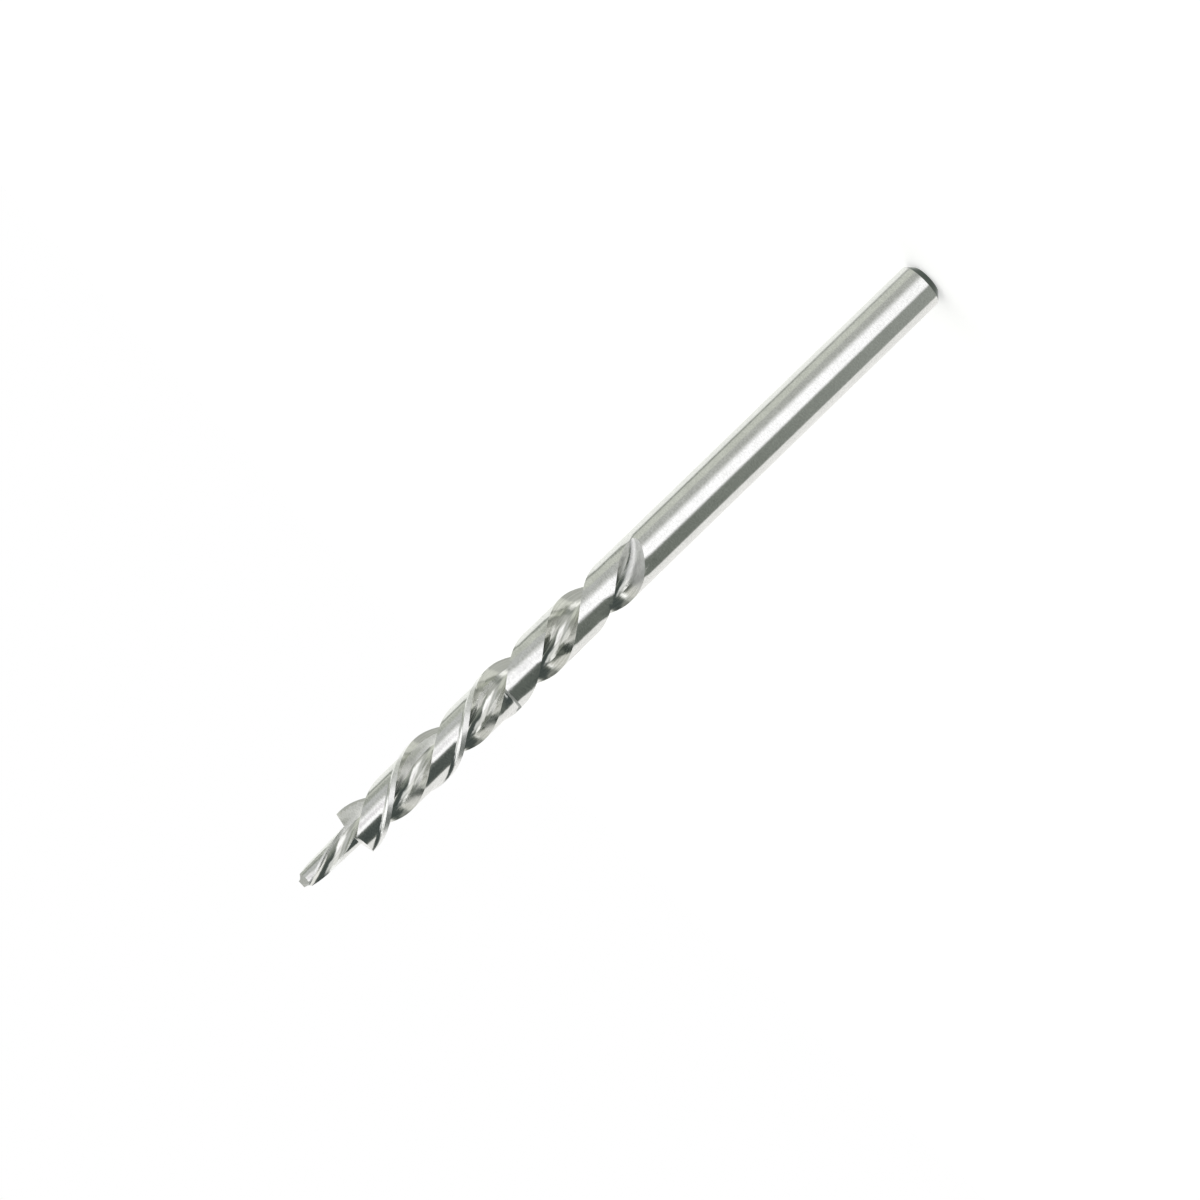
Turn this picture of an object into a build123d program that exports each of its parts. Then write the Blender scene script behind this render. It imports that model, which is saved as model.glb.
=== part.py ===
"""Step drill bit for pocket holes: one bar of hardened steel, ground from a round blank.

It stands on the end of its shank. The origin is the centre of that end face, and +Z runs
along the axis to the point. Lengths are in millimetres and angles in degrees.
"""
import os
from math import acos, atan, ceil, cos, degrees, pi, radians, sin, sqrt, tan

from build123d import *

# Diameters at the step, on the pilot and on its relieved heels, and how much the body narrows
# from the step to the shank
body_diameter = 9.5
pilot_diameter = 4.4
pilot_heel_diameter = 4.0
back_taper = 0.08

# Lengths along the axis
shank_length = 73.0
flute_length = 74.3
pilot_length = 12.7
relieved_length = 38.0
shank_chamfer = 1.4
relief_run_out = 1.0

# The two flutes: their left-hand twist, their section, and how they rise out of the bar
flute_count = 2
lead = 37.0
flute_opening = 92.0
rake_undercut = 4.0
web_thickness = 1.5
web_growth = 0.7
run_out_length = 6.6

# The margin beside each cutting edge: its width square to the edge and, on the body, its
# height above the relieved land and the radius of its flank
margin_width = 0.85
relief_depth = 0.5
margin_flank_radius = 1.1
pilot_margin_width = 0.5

# The ground faces of the point and of the step
point_angle = 140.0
point_relief = 30.0
step_lean = 10.0
step_relief = 12.0
step_fillet = 0.5

# How far cutters reach past the steel
cutter_clearance = 1.0
relief_clearance = 0.1
past_heel = 15.0

# The turn from one lofted section to the next, and the sections where a cutter leaves the steel
loft_turn = 30.0
run_out_sections = 6
relief_run_out_sections = 5

body_radius = body_diameter / 2
shank_radius = body_radius - back_taper / 2
pilot_radius = pilot_diameter / 2
relieved_radius = body_radius - relief_depth
step_height = shank_length + flute_length
overall_length = step_height + pilot_length
relief_end = step_height - relieved_length
land_angle = 360.0 / flute_count - flute_opening
half_web = web_thickness / 2
middle_way = Vector(1, 0).rotate(Axis.Z, -flute_opening / 2)
on_base = (Align.CENTER, Align.CENTER, Align.MIN)


def twist_at(height):
    """Angle of the cutting edge at a height. It falls as the height grows: a left-hand helix."""
    return 360.0 * (overall_length - height) / lead


def evenly(start, end, step):
    """Places from start to end, both included, no further apart than step."""
    count = ceil(abs(end - start) / step)
    return [start + (end - start) * i / count for i in range(count + 1)]


def polar(radius, angle):
    """A point across the bar."""
    return Vector(radius, 0).rotate(Axis.Z, angle)


def at_height(height, section):
    """A section turned to where the helix has it at a height."""
    return Pos(0, 0, height) * Rot(0, 0, twist_at(height)) * section


def for_each_flute(shape):
    """The shape repeated evenly round the axis."""
    return [Rot(0, 0, 360.0 / flute_count * i) * shape for i in range(flute_count)]


def flute_section(lift):
    """The area that the wheel takes out across the bar, moved outwards by lift.

    The cutting edge lies on +X and the flute on the clockwise side of it. Two straight walls
    are joined by one arc, whose radius leaves half the web between it and the axis.
    """
    rake_edge = polar(body_radius, 0)
    rake_way = polar(1, 180.0 - rake_undercut)
    heel_edge = polar(body_radius, -flute_opening)
    heel_way = Vector(0, 1)
    gap = heel_edge - rake_edge
    corner = rake_edge + rake_way * (gap.cross(heel_way).Z / rake_way.cross(heel_way).Z)
    way_out = -(rake_way + heel_way).normalized()
    way_out = way_out / sin(radians(way_out.get_angle(-rake_way)))
    square = way_out.length**2 - 1
    linear = corner.dot(way_out) - half_web
    constant = corner.length**2 - half_web**2
    root_radius = (sqrt(linear**2 - square * constant) - linear) / square
    root = corner + way_out * root_radius
    rake_foot = root + rake_way.rotate(Axis.Z, -90) * root_radius
    heel_foot = root + heel_way.rotate(Axis.Z, 90) * root_radius
    root_bottom = root - way_out.normalized() * root_radius
    rake_end = rake_edge - rake_way * body_diameter
    heel_end = heel_edge - heel_way * body_diameter
    far_corner = rake_end + heel_end - corner
    outline = [
        Line(rake_end, rake_foot),
        ThreePointArc(rake_foot, root_bottom, heel_foot),
        Line(heel_foot, heel_end),
        Line(heel_end, far_corner),
        Line(far_corner, rake_end),
    ]
    return Pos(*(middle_way * lift)) * make_face(outline)


def web_lift(height):
    """How far the growing web has raised the flute at a height."""
    return web_growth / 2 * (overall_length - height) / (overall_length - shank_length)


def flute_cutter():
    """One flute as a solid, lofted through its own section at many heights.

    It rises slowly as the web grows, and leaves the bar along the wheel's arc.
    """
    bend = shank_length + run_out_length
    depth = body_radius - half_web - web_growth / 2
    wheel_radius = (run_out_length**2 + depth**2) / (2 * depth)
    heights = evenly(overall_length + cutter_clearance, bend, lead * loft_turn / 360)
    sections = [at_height(h, flute_section(web_lift(h))) for h in heights]
    way_out = degrees(acos(1 - (depth + cutter_clearance) / wheel_radius))
    for turn in evenly(0, way_out, way_out / run_out_sections)[1:]:
        height = bend - wheel_radius * sin(radians(turn))
        lift = web_lift(height) + wheel_radius * (1 - cos(radians(turn)))
        sections.append(at_height(height, flute_section(lift)))
    return loft(sections)


def margin_angle(radius, width):
    """The turn that a margin takes up across the bar, where its helix lies at that radius."""
    helix_angle = atan(2 * pi * radius / lead)
    return degrees(width / cos(helix_angle) / radius)


def relief_section(inner_radius):
    """The area ground off one land of the body behind its margin, down to inner_radius.

    A quarter circle leads from the relieved surface up the flank of the margin.
    """
    flank_width = sqrt(margin_flank_radius**2 - (margin_flank_radius - relief_depth) ** 2)
    start = margin_angle(body_radius, margin_width) + degrees(flank_width / body_radius)
    end = land_angle + past_heel
    middle = (start + end) / 2
    outwards = polar(1, start)
    across = polar(1, start - 90)
    flank_foot = outwards * inner_radius
    flank_top = flank_foot + (outwards + across) * margin_flank_radius
    flank_bend = flank_foot + (outwards + (across - outwards).normalized()) * margin_flank_radius
    far = flank_top + outwards * margin_flank_radius
    outline = [
        ThreePointArc(flank_foot, flank_bend, flank_top),
        Line(flank_top, far),
        ThreePointArc(far, polar(far.length, middle), polar(far.length, end)),
        Line(polar(far.length, end), polar(inner_radius, end)),
        ThreePointArc(polar(inner_radius, end), polar(inner_radius, middle), flank_foot),
    ]
    return make_face(outline)


def relief_cutter():
    """One land's relief as a solid. It runs out towards the shank along a quarter circle."""
    bend = relief_end + relief_run_out
    heights = evenly(step_height + cutter_clearance, bend, lead * loft_turn / 360)
    sections = [at_height(h, relief_section(relieved_radius)) for h in heights]
    rise = relief_depth + relief_clearance
    for turn in evenly(0, 90, 90 / relief_run_out_sections)[1:]:
        height = bend - relief_run_out * sin(radians(turn))
        inner_radius = relieved_radius + rise * (1 - cos(radians(turn)))
        sections.append(at_height(height, relief_section(inner_radius)))
    return loft(sections)


def pilot_relief_cutter():
    """The relief of one land of the pilot as a solid: it falls evenly from margin to heel."""
    start = margin_angle(pilot_radius, pilot_margin_width)
    heel_radius = pilot_heel_diameter / 2
    fall = (pilot_radius - heel_radius) / (land_angle - start)
    end = land_angle + past_heel
    middle = (start + end) / 2
    margin_end = polar(pilot_radius, start)
    land_middle = polar(pilot_radius - fall * (middle - start), middle)
    land_end = polar(pilot_radius - fall * (end - start), end)
    far_middle = polar(pilot_radius + cutter_clearance, middle)
    far_end = polar(pilot_radius + cutter_clearance, end)
    outline = [
        ThreePointArc(margin_end, land_middle, land_end),
        Line(land_end, far_end),
        ThreePointArc(far_end, far_middle, polar(pilot_radius + cutter_clearance, start)),
        Line(polar(pilot_radius + cutter_clearance, start), margin_end),
    ]
    section = make_face(outline)
    heights = evenly(overall_length + cutter_clearance, step_height, lead * loft_turn / 360)
    return loft([at_height(h, section) for h in heights])


def blank():
    """The round bar: a chamfered shank, the slightly tapered body and the pilot in front."""
    outline = Polyline(
        (0, 0),
        (shank_radius - shank_chamfer, 0),
        (shank_radius, shank_chamfer),
        (shank_radius, shank_length),
        (body_radius, step_height),
        (pilot_radius, step_height),
        (pilot_radius, overall_length),
        (0, overall_length),
        close=True,
    )
    return revolve(Plane.XZ * make_face(outline), Axis.Z)


def above_ground_face(stock, lip_start, height, fall_outwards, fall_behind):
    """The stock above the flat face that is ground behind the cutting lip at a height.

    The face falls outwards along the lip by one angle and away behind the lip by the other.
    """
    upright = (tan(radians(fall_outwards)), tan(radians(fall_behind)), 1)
    face = at_height(height, Plane(origin=(lip_start, 0, 0), z_dir=upright).location)
    size = 2 * (body_diameter + pilot_length)
    return stock & face * Box(size, size, size, align=on_base)


def step_cutter():
    """What the wheel takes away around the pilot above one step face, with its rounded corner."""
    ring = Cylinder(body_diameter, body_radius + pilot_length, align=on_base)
    ring -= Cylinder(pilot_radius, body_radius + pilot_length, align=on_base)
    ring = Pos(0, 0, step_height - body_radius) * ring
    cutter = above_ground_face(ring, pilot_radius, step_height, step_lean, step_relief)
    bore = cutter.faces().filter_by(GeomType.CYLINDER).sort_by(SortBy.AREA)[0]
    return fillet(bore.edges().sort_by(Axis.Z)[0], step_fillet)


def point_cutter():
    """What is ground away above one face of the point."""
    stock = Cylinder(body_diameter, body_diameter, align=on_base)
    stock = Pos(0, 0, overall_length - pilot_diameter) * stock
    return above_ground_face(stock, 0, overall_length, 90.0 - point_angle / 2, point_relief)


def drill_bit():
    """The finished bit: flutes and reliefs cut along the bar, then its step and point ground."""
    bit = blank()
    bit -= for_each_flute(flute_cutter())
    bit -= for_each_flute(relief_cutter())
    bit -= for_each_flute(pilot_relief_cutter())
    bit -= for_each_flute(step_cutter())
    bit -= for_each_flute(point_cutter())
    return bit


os.makedirs("parts", exist_ok=True)
export_step(drill_bit(), "parts/drill_bit.step")
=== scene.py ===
"""Looks for a step drill bit: ground steel on a pale floor, seen as in the photograph."""

from math import cos, pi, radians, sin

import bpy
from mathutils import Matrix, Vector


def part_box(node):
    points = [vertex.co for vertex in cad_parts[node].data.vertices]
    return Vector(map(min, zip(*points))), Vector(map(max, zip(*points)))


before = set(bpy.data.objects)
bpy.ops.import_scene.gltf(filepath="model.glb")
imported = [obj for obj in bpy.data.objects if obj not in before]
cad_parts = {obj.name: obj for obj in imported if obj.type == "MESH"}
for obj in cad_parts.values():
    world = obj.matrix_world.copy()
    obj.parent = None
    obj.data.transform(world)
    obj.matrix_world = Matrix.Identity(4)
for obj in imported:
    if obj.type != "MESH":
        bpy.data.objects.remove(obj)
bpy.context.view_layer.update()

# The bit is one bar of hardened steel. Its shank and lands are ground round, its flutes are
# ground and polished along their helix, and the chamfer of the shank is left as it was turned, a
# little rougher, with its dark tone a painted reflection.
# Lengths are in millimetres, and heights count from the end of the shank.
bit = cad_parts["drill_bit"]
low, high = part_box("drill_bit")
length = 1000 * (high[2] - low[2])
lead = 37.0
flute_start = 73.0
run_out_top = 79.6
chamfer_height = 1.4
relief_end = 109.3
relief_step_foot = 4.38
flute_rim = 4.66
# Places round the bar, as shares of half a turn from the cutting edge
margin_share = 0.075
land_share = 88.0 / 180.0
run_out_share = 0.86
steel_colour = (0.75, 0.755, 0.74, 1)
flute_colour = (0.76, 0.765, 0.735, 1)
painted_highlight_colour = (0.96, 0.96, 0.955, 1)
painted_shade_colour = (0.13, 0.155, 0.14, 1)
ring_grain = (2.2, 2.2, 6.0)
streak_grain = (4.0, 4.0, 0.12)


class Socket:
    """A value in a shader. Arithmetic on it makes Math nodes in its own tree."""

    def __init__(self, tree, plug=None):
        self.tree = tree
        self.plug = plug

    def node(self, kind, settings=None, inputs=None, output=0):
        """Any node: its settings first, then its inputs as values or links."""
        made = self.tree.nodes.new("ShaderNode" + kind)
        for name, value in (settings or {}).items():
            setattr(made, name, value)
        for name, value in (inputs or {}).items():
            if isinstance(value, Socket):
                self.tree.links.new(value.plug, made.inputs[name])
            else:
                made.inputs[name].default_value = value
        return Socket(self.tree, made.outputs[output] if made.outputs else None)

    def math(self, operation, *others):
        """A Math node on this value and the others."""
        return self.node("Math", {"operation": operation}, dict(enumerate((self, *others))))

    def vector(self, operation, inputs, output=0):
        """A Vector Math node on this value and the other inputs."""
        return self.node("VectorMath", {"operation": operation}, {0: self, **inputs}, output)

    def part(self, axis):
        """One part of a vector: X, Y or Z."""
        return self.node("SeparateXYZ", {}, {0: self}, axis)

    def ramp(self, start, end, first=0.0, last=1.0):
        """A smooth change from first to last as this value goes from start to end."""
        settings = {"interpolation_type": "SMOOTHSTEP"}
        return self.node("MapRange", settings, {0: self, 1: start, 2: end, 3: first, 4: last})

    def mix(self, first, last):
        """The colour between first and last at this share."""
        return self.node("Mix", {"data_type": "RGBA"}, {0: self, 6: first, 7: last}, 2)

    def __add__(self, other):
        return self.math("ADD", other)

    def __sub__(self, other):
        return self.math("SUBTRACT", other)

    def __rsub__(self, other):
        return self.node("Math", {"operation": "SUBTRACT"}, {0: other, 1: self})

    def __mul__(self, other):
        return self.math("MULTIPLY", other)

    def __truediv__(self, other):
        return self.math("DIVIDE", other)

    __radd__ = __add__
    __rmul__ = __mul__


def new_material(name):
    """An empty material and the start of its shader."""
    material = bpy.data.materials.new(name)
    material.use_nodes = True
    material.node_tree.nodes.clear()
    return material, Socket(material.node_tree)


def noise(place, scale, detail):
    """Noise at a place, from 0 to 1."""
    return place.node("TexNoise", {}, {"Vector": place, "Scale": scale, "Detail": detail})


# Each place on the bit by its height, its radius and its share of the turn along the helix
steel, shader = new_material("ground_steel")
place = shader.node("TexCoord", output="Object").vector("SCALE", {"Scale": 1000.0})
across, aside, height = [place.part(axis) for axis in "XYZ"]
radius = (across * across + aside * aside).math("SQRT")
turn_back = (height - length) * (2 * pi / lead)
turning = {"Vector": place, "Angle": turn_back}
straight = place.node("VectorRotate", {"rotation_type": "Z_AXIS"}, turning)
half_turns = straight.part("Y").math("ARCTAN2", straight.part("X")) / pi
share = half_turns.math("FLOORED_MODULO", 1.0)

# Where each finish, painted highlight and painted shade lies, from 0 to 1
in_flute = share.ramp(land_share - 0.01, land_share) * radius.ramp(flute_rim, flute_rim - 0.02)
in_flute = in_flute * height.ramp(flute_start - 0.5, flute_start)
in_chamfer = height.ramp(chamfer_height, chamfer_height - 0.05)
# Painted highlight: the flute's run-out is painted pale, rougher and less metallic, to show bright
in_run_out = share.ramp(run_out_share + 0.07, run_out_share)
in_run_out = in_run_out * height.ramp(run_out_top + 1, run_out_top - 1.5) * in_flute
# Painted highlight: the margins are painted pale and rougher, to show bright
on_margin = share.ramp(margin_share + 0.02, margin_share) * height.ramp(relief_end, relief_end + 1)
on_margin = on_margin * (1 - in_flute)
# Painted shade: the wall at the relief's end, where the step stands, is painted dark, matt and not
# metallic
painted_shade_at_step = height.ramp(relief_end - 0.12, relief_end - 0.04)
painted_shade_at_step = painted_shade_at_step * height.ramp(relief_end + 1.2, relief_end + 0.9)
painted_shade_at_step = painted_shade_at_step * radius.ramp(relief_step_foot, relief_step_foot + 0.08, 0.0, 0.45)
painted_shade_at_step = painted_shade_at_step * (1 - in_flute) * (1 - on_margin)

# The wheel's fine lines run round the lands and along the flutes
rings = place.vector("MULTIPLY", {1: ring_grain})
streaks = straight.vector("MULTIPLY", {1: streak_grain})
ground = in_flute.node("Mix", {"data_type": "VECTOR"}, {0: in_flute, 4: rings, 5: streaks}, 1)
lines = noise(ground, 1.0, 3.0)
clouds = noise(place, 0.35, 2.0)

# The run-out and the margins are painted pale as painted highlights, and the wall at the relief's
# end is painted dark as painted shade; none of them is known to be finished another way. They are
# toned to come nearer to the photograph where the modelled form differs from it.
colour = in_flute.mix(steel_colour, flute_colour)
# Painted reflection: the chamfer is painted dark, standing in for the dark surroundings it mirrors
colour = in_chamfer.mix(colour, painted_shade_colour)
# Painted highlight on the run-out and the margins
colour = in_run_out.math("MAXIMUM", on_margin * 0.8).mix(colour, painted_highlight_colour)
# Painted shade on the wall at the relief's end
colour = painted_shade_at_step.mix(colour, painted_shade_colour)
worn = lines.ramp(0.3, 0.7, 0.87, 1.06) * clouds.ramp(0.3, 0.7, 0.97, 1.02)
colour = colour.vector("SCALE", {"Scale": worn})
roughness = lines.ramp(0.25, 0.75, 0.10, 0.17) + in_chamfer * 0.2 + on_margin * 0.25
roughness = roughness + in_run_out * 0.25 + painted_shade_at_step * 0.8
metallic = 1 - in_run_out * 0.3 - painted_shade_at_step
relief = lines.node("Bump", {}, {"Strength": 0.6, "Distance": 0.00001, "Height": lines})
finish = {"Base Color": colour, "Metallic": metallic, "Roughness": roughness, "Normal": relief}
surface = shader.node("BsdfPrincipled", {}, finish)
shader.node("OutputMaterial", {}, {"Surface": surface})
bit.material_slots[0].material = steel

# The floor is a wide pale table top, lit by the room. It shows white to the camera and keeps
# the shadow of the bit. The steel doesn't mirror it, but the lower part of the drawn room.
floor_reach = 3.0
floor_colour = (0.8, 0.8, 0.8, 1)
floor_glow = 0.5
white = (1, 1, 1, 1)
corners = [(floor_reach * x, floor_reach * y, 0) for x, y in ((-1, -1), (1, -1), (1, 1), (-1, 1))]
floor_mesh = bpy.data.meshes.new("floor")
floor_mesh.from_pydata(corners, [], [(0, 1, 2, 3)])
floor = bpy.data.objects.new("floor", floor_mesh)
bpy.context.collection.objects.link(floor)
floor.visible_glossy = False
pale, shader = new_material("pale_floor")
matt = shader.node("BsdfDiffuse", {}, {"Color": floor_colour})
seen = shader.node("LightPath", output="Is Camera Ray")
glow = shader.node("Emission", {}, {"Color": white, "Strength": seen * floor_glow})
shader.node("OutputMaterial", {}, {"Surface": shader.node("AddShader", {}, {0: matt, 1: glow})})
floor_mesh.materials.append(pale)

# The room is what the steel mirrors. The real one isn't known, so it is drawn as soft-edged
# patches, each laid over those before it. Their places and tones were set from the
# tones of the bands on the photographed steel. The camera itself sees only white.
camera_bearing = radians(226.4)
towards_camera = Vector((cos(camera_bearing), sin(camera_bearing), 0))
to_the_right = towards_camera.cross(Vector((0, 0, 1)))
world = bpy.data.worlds.new("studio")
bpy.context.scene.world = world
world.use_nodes = True
world.node_tree.nodes.clear()
shader = Socket(world.node_tree)
way = shader.node("TexCoord", output="Generated")
ahead = way.vector("DOT_PRODUCT", {1: towards_camera}, "Value")
beside = way.vector("DOT_PRODUCT", {1: to_the_right}, "Value")
bearing = beside.math("ARCTAN2", ahead) * (180 / pi)
rise = way.part("Z").math("ARCSINE") * (180 / pi)
rise_edge = 4


def patch(left, right, bottom, top, left_edge, right_edge, slant=0.0):
    """A part of the room between two bearings and two rises, in degrees, from 0 to 1."""
    place = bearing - rise * slant if slant else bearing
    sides = place.ramp(left - left_edge, left + left_edge)
    sides = sides * place.ramp(right + right_edge, right - right_edge)
    levels = rise.ramp(bottom - rise_edge, bottom + rise_edge)
    return sides * levels * rise.ramp(top + rise_edge, top - rise_edge)


# Bearings count from the camera's and grow to the right, as seen from the bit. Each row is a
# patch and its tone.
patches = [
    # Pale behind the bit, on the left and on the right
    (-190, -111, -40, 24, 6, 6, (1.11, 1.12, 1.08, 1)),
    (95, 190, -40, 50, 6, 6, (1.05, 1.04, 1.02, 1)),
    # Greys on the left
    (-98, -64, -24, 34, 3, 4, (0.70, 0.72, 0.65, 1)),
    (-88, -63, -1, 34, 4, 4, (0.40, 0.42, 0.38, 1)),
    (-64, -40, -5, 34, 4, 6, (0.63, 0.64, 0.63, 1)),
    (-108, -99, -13, 12, 3, 3, (0.36, 0.38, 0.34, 1)),
    # Bright above the left, and pale above the camera
    (-108, 14, 34, 56, 8, 8, (1.5, 1.5, 1.5, 1)),
    (-25, 14, 10, 33, 8, 8, (1.0, 1.0, 0.98, 1)),
    # A light and a dark strip low down on the left, both aslant
    (-159, -133, -46, -22, 6, 6, -2.5, (1.3, 1.3, 1.26, 1)),
    (-123, -100, -46, -20, 6, 6, -2.5, (0.30, 0.32, 0.295, 1)),
    # Bright at the camera, and a little dimmer inside
    (-26, 30, -19, 9, 16, 6, (1.4, 1.39, 1.41, 1)),
    (-14, 3, -1, 12, 6, 4, (0.96, 0.93, 0.96, 1)),
    # Dark on the right, in three steps, then a pale part in it, a grey one low down and a
    # dark one overhead
    (26, 94, -30, 60, 8, 5, (0.23, 0.25, 0.22, 1)),
    (21, 94, -5, 60, 5, 5, (0.125, 0.14, 0.125, 1)),
    (33, 84, -1, 60, 6, 5, (0.075, 0.09, 0.085, 1)),
    (10, 45, 14, 32, 4, 6, (0.84, 0.85, 0.84, 1)),
    (29, 94, -28, -12, 8, 5, (0.38, 0.40, 0.37, 1)),
    (14, 106, 62, 100, 6, 6, (0.25, 0.26, 0.24, 1)),
]
room = (0.54, 0.55, 0.52, 1)
for *where, patch_colour in patches:
    room = patch(*where).mix(room, patch_colour)
light = shader.node("LightPath", output="Is Camera Ray").mix(room, white)
background = shader.node("Background", {}, {"Color": light, "Strength": 1.0})
shader.node("OutputWorld", {}, {"Surface": background})

# The camera, as far from the bit and as tilted as the one that took the photograph, and turned
# so that the bit crosses the picture aslant. Lengths here are in metres.
camera_tilt = radians(5.2)
axis_slope = radians(44.066)
aim_height = 0.0853
aim_aside = -0.00059
camera_distance = 0.458
down = Vector((0, 0, -1))
along = cos(camera_tilt) * down + sin(camera_tilt) * towards_camera
forward = sin(camera_tilt) * down - cos(camera_tilt) * towards_camera
right = cos(axis_slope) * along + sin(axis_slope) * to_the_right
up = sin(axis_slope) * along - cos(axis_slope) * to_the_right
aim = Vector((0, 0, aim_height)) - aim_aside * to_the_right
camera_data = bpy.data.cameras.new("camera")
camera_data.lens = 75
camera_data.sensor_width = 36
camera_data.clip_start = 0.01
camera = bpy.data.objects.new("camera", camera_data)
bpy.context.collection.objects.link(camera)
turned = Matrix((right, up, -forward)).transposed().to_4x4()
camera.matrix_world = Matrix.Translation(aim - camera_distance * forward) @ turned
bpy.context.scene.camera = camera

bpy.context.scene.view_settings.view_transform = "Standard"
